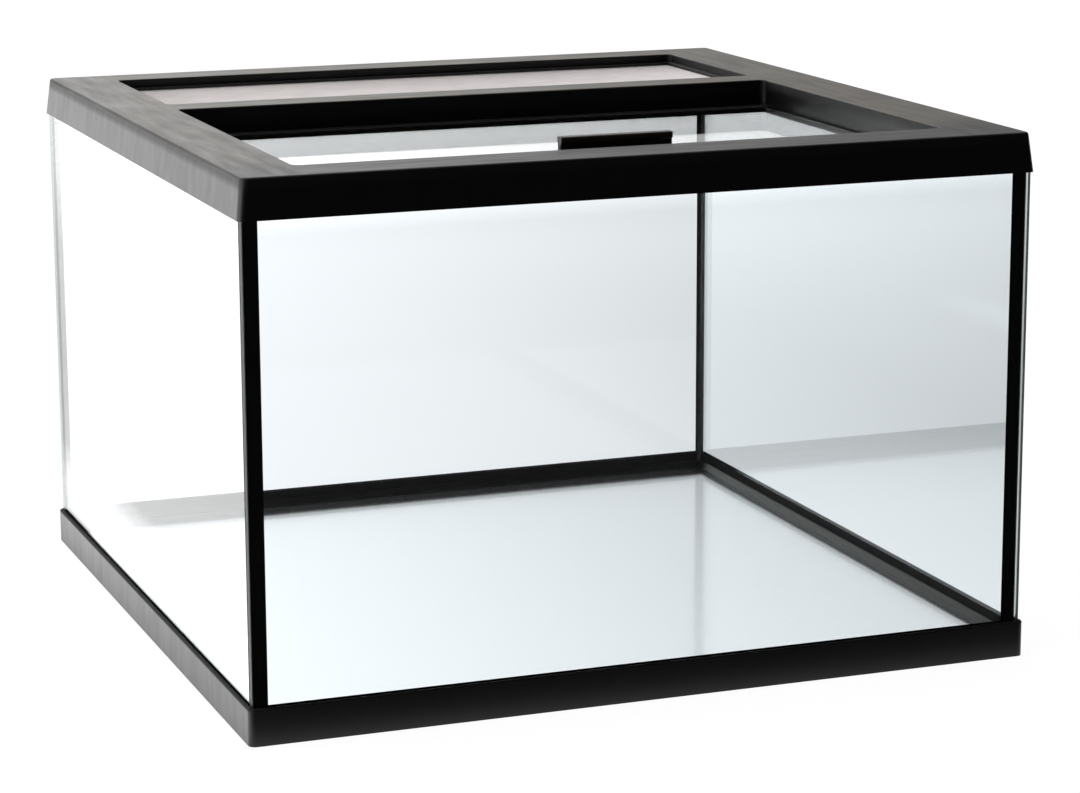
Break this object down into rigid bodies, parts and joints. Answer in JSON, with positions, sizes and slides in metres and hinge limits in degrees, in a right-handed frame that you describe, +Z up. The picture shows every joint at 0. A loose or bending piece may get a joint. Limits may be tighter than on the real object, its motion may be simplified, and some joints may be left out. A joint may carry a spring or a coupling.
{
  "type": "terrarium",
  "caption": "Square glass terrarium with a black base frame and rim, a hinged glass lid with a pull handle, and a wire mesh vent behind the crossbar.",
  "frame": {"origin": "the middle of the base frame's underside, at the level of the table", "axes": "+X to the right, +Y from the front pane to the rear pane, +Z up"},
  "size_m": [0.456, 0.456, 0.304],
  "materials": {
    "black_plastic": "injection moulded, satin, fine grain",
    "handle_plastic": "injection moulded, satin",
    "clear_glass": "clear float glass with ground edges",
    "lid_glass": "clear float glass with ground edges and rounded corners",
    "black_silicone": "tooled sealant, satin",
    "wire_mesh": "fine woven wire, bright",
    "hinge_steel": "plain drawn pin",
    "adhesive_pad": "foam tape"
  },
  "bodies": {
    "tank": {"base_frame": "black_plastic", "front_glass": "clear_glass", "rear_glass": "clear_glass", "left_glass": "clear_glass", "right_glass": "clear_glass", "floor_glass": "clear_glass", "front_left_seam": "black_silicone", "front_right_seam": "black_silicone", "rear_left_seam": "black_silicone", "rear_right_seam": "black_silicone", "floor_seam": "black_silicone", "base_bond": "black_silicone", "top_bond": "black_silicone", "top_frame": "black_plastic", "vent_mesh": "wire_mesh", "mesh_retainer": "black_plastic"},
    "lid": {"lid_glass": "lid_glass", "hinge_strip": "black_plastic", "strip_bond_film": "black_silicone", "left_hinge_pin": "hinge_steel", "right_hinge_pin": "hinge_steel", "lid_handle": "handle_plastic", "handle_pad": "adhesive_pad"}
  },
  "joints": [
    {"name": "lid_hinge", "type": "hinge", "parent": "tank", "child": "lid", "pos_m": [0, 0.042, 0.282], "axis": [-1, 0, 0], "range_deg": [0, 96]}
  ]
}
